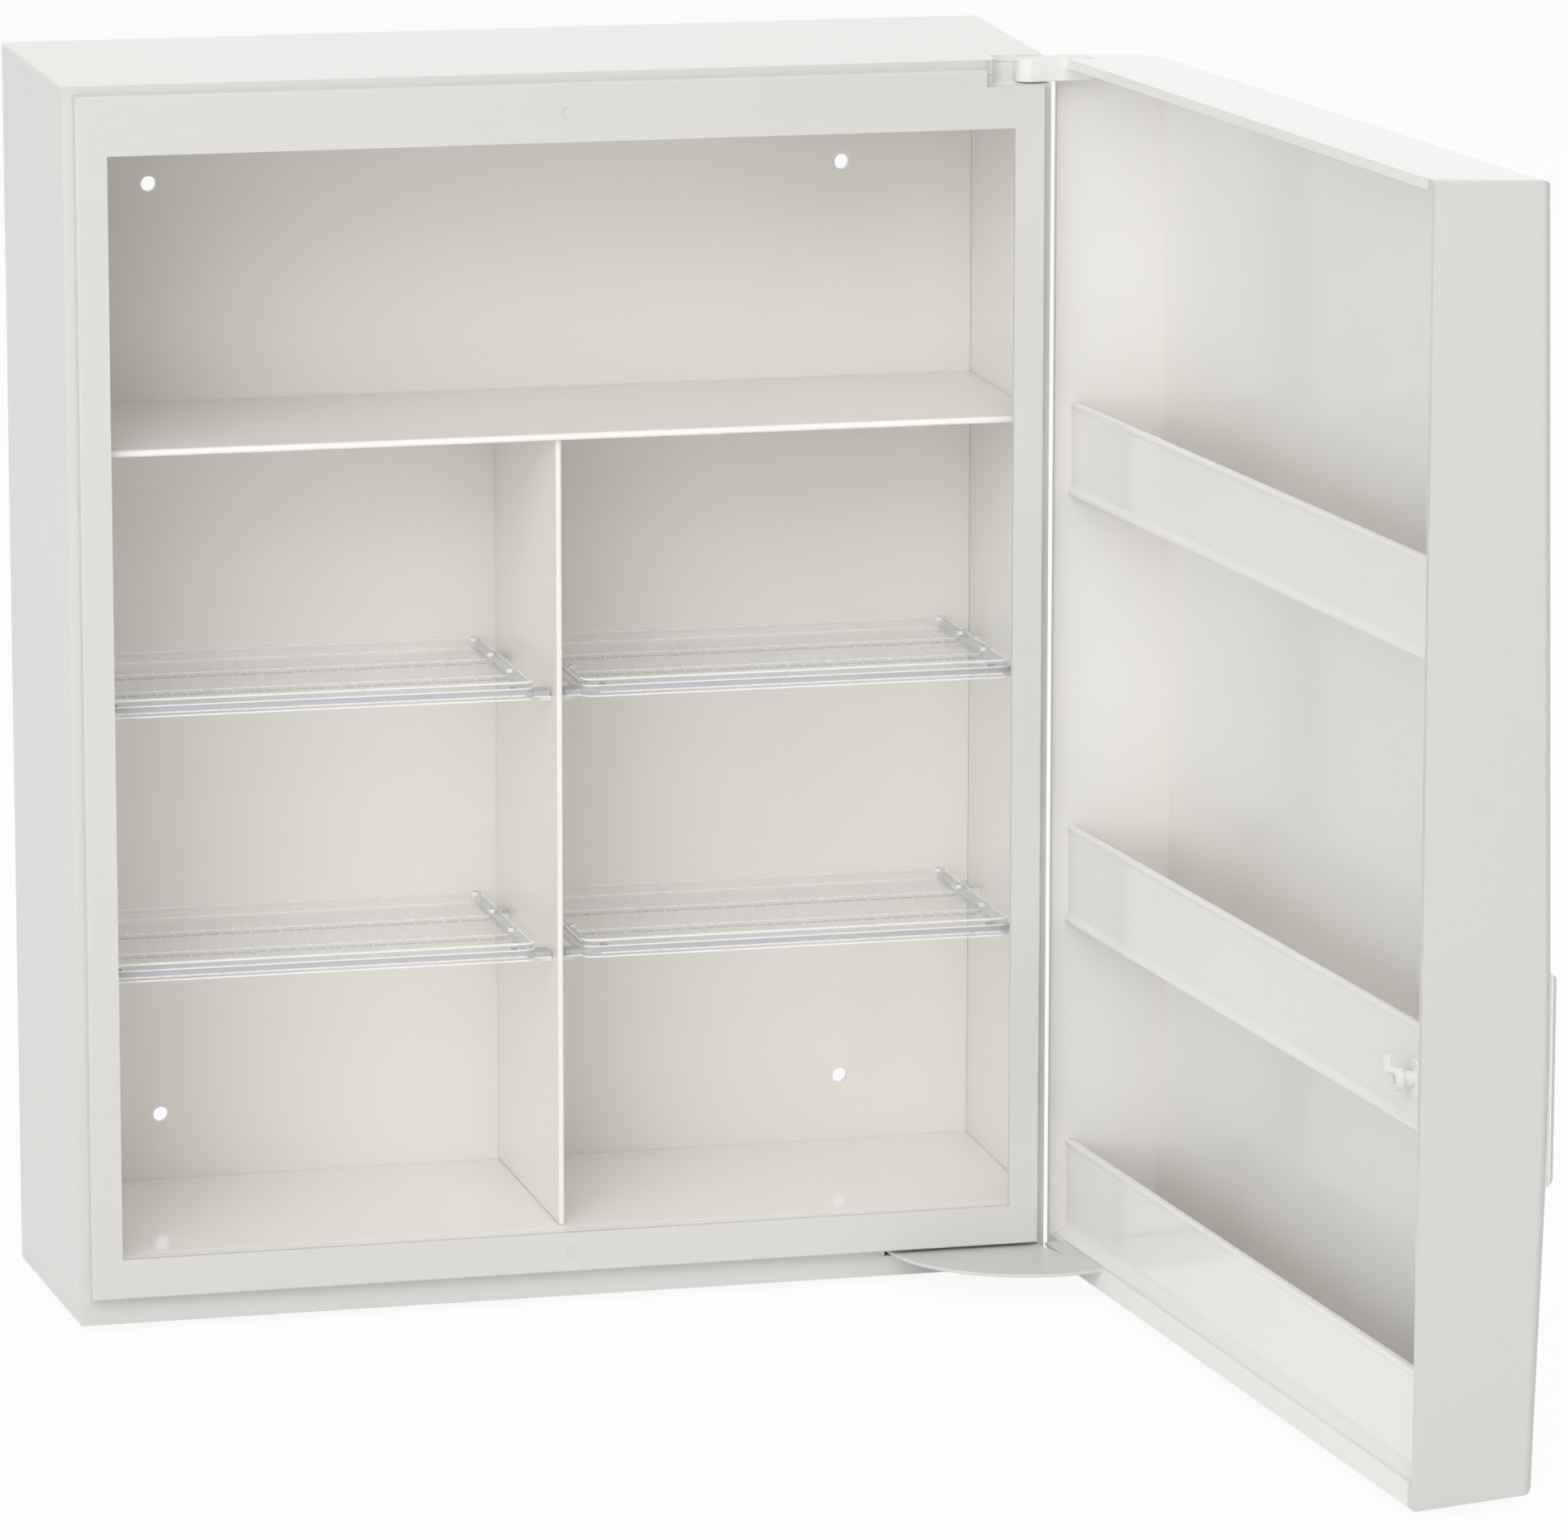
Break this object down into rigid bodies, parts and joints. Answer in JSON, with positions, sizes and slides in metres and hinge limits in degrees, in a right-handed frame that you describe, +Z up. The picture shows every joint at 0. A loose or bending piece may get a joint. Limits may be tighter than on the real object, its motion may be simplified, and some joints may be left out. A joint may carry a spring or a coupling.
{
  "type": "first aid cabinet",
  "caption": "White plastic wall cabinet for first aid supplies: deep side-hinged door with inner pockets and turn latch, fixed shelf, divider and lift-out clear shelves.",
  "frame": {"origin": "centre of the four wall holes on the rear face, which lies against the wall", "axes": "+X to the right seen from the front, +Y into the wall, +Z up"},
  "size_m": [0.4381, 0.4491, 0.4456],
  "materials": {
    "white_shell": "smooth glossy warm white moulding",
    "white_inner": "smooth satin warm white moulding",
    "white_pocket": "smooth glossy warm white moulding",
    "white_trim": "smooth glossy white moulding",
    "clear_plastic": "clear moulding with a faint blue cast",
    "steel_pin": "plain turned pin"
  },
  "bodies": {
    "cabinet": {"back_panel": "white_inner", "bottom_hinge_block": "white_shell", "bottom_hinge_pin": "steel_pin", "centre_divider": "white_inner", "divider_lug_lower_left_front": "white_inner", "divider_lug_lower_left_rear": "white_inner", "divider_lug_lower_right_front": "white_inner", "divider_lug_lower_right_rear": "white_inner", "divider_lug_upper_left_front": "white_inner", "divider_lug_upper_left_rear": "white_inner", "divider_lug_upper_right_front": "white_inner", "divider_lug_upper_right_rear": "white_inner", "fixed_shelf": "white_inner", "floor_panel": "white_inner", "housing": "white_shell", "top_hinge_block": "white_shell", "top_hinge_pin": "steel_pin", "wall_lug_lower_left_front": "white_inner", "wall_lug_lower_left_rear": "white_inner", "wall_lug_lower_right_front": "white_inner", "wall_lug_lower_right_rear": "white_inner", "wall_lug_upper_left_front": "white_inner", "wall_lug_upper_left_rear": "white_inner", "wall_lug_upper_right_front": "white_inner", "wall_lug_upper_right_rear": "white_inner"},
    "door": {"door_shell": "white_shell", "guide_plate": "white_shell", "handle_pad": "white_trim", "hinge_tongue": "white_shell", "latch_collar": "white_trim", "pocket_floor_middle": "white_pocket", "pocket_floor_upper": "white_pocket", "pocket_front_lower": "white_pocket", "pocket_front_middle": "white_pocket", "pocket_front_upper": "white_pocket"},
    "latch": {"latch_cam": "white_trim", "latch_knob": "white_trim", "latch_tube": "white_trim"},
    "shelf_lower_left": {"clear_shelf_lower_left": "clear_plastic"},
    "shelf_lower_right": {"clear_shelf_lower_right": "clear_plastic"},
    "shelf_upper_left": {"clear_shelf_upper_left": "clear_plastic"},
    "shelf_upper_right": {"clear_shelf_upper_right": "clear_plastic"}
  },
  "joints": [
    {"name": "door_hinge", "type": "hinge", "parent": "cabinet", "child": "door", "pos_m": [0.17015, -0.10394, 0], "axis": [0, 0, 1], "range_deg": [-94.1, 0]},
    {"name": "latch_turn", "type": "hinge", "parent": "door", "child": "latch", "pos_m": [0.22568, -0.42745, -0.078], "axis": [0.9974, 0.0715, 0], "range_deg": [0, 90]},
    {"name": "shelf_lower_left_lift", "type": "slide", "parent": "cabinet", "child": "shelf_lower_left", "axis": [0, 0, 1], "range_m": [0, 0.04]},
    {"name": "shelf_lower_right_lift", "type": "slide", "parent": "cabinet", "child": "shelf_lower_right", "axis": [0, 0, 1], "range_m": [0, 0.04]},
    {"name": "shelf_upper_left_lift", "type": "slide", "parent": "cabinet", "child": "shelf_upper_left", "axis": [0, 0, 1], "range_m": [0, 0.04]},
    {"name": "shelf_upper_right_lift", "type": "slide", "parent": "cabinet", "child": "shelf_upper_right", "axis": [0, 0, 1], "range_m": [0, 0.04]}
  ]
}
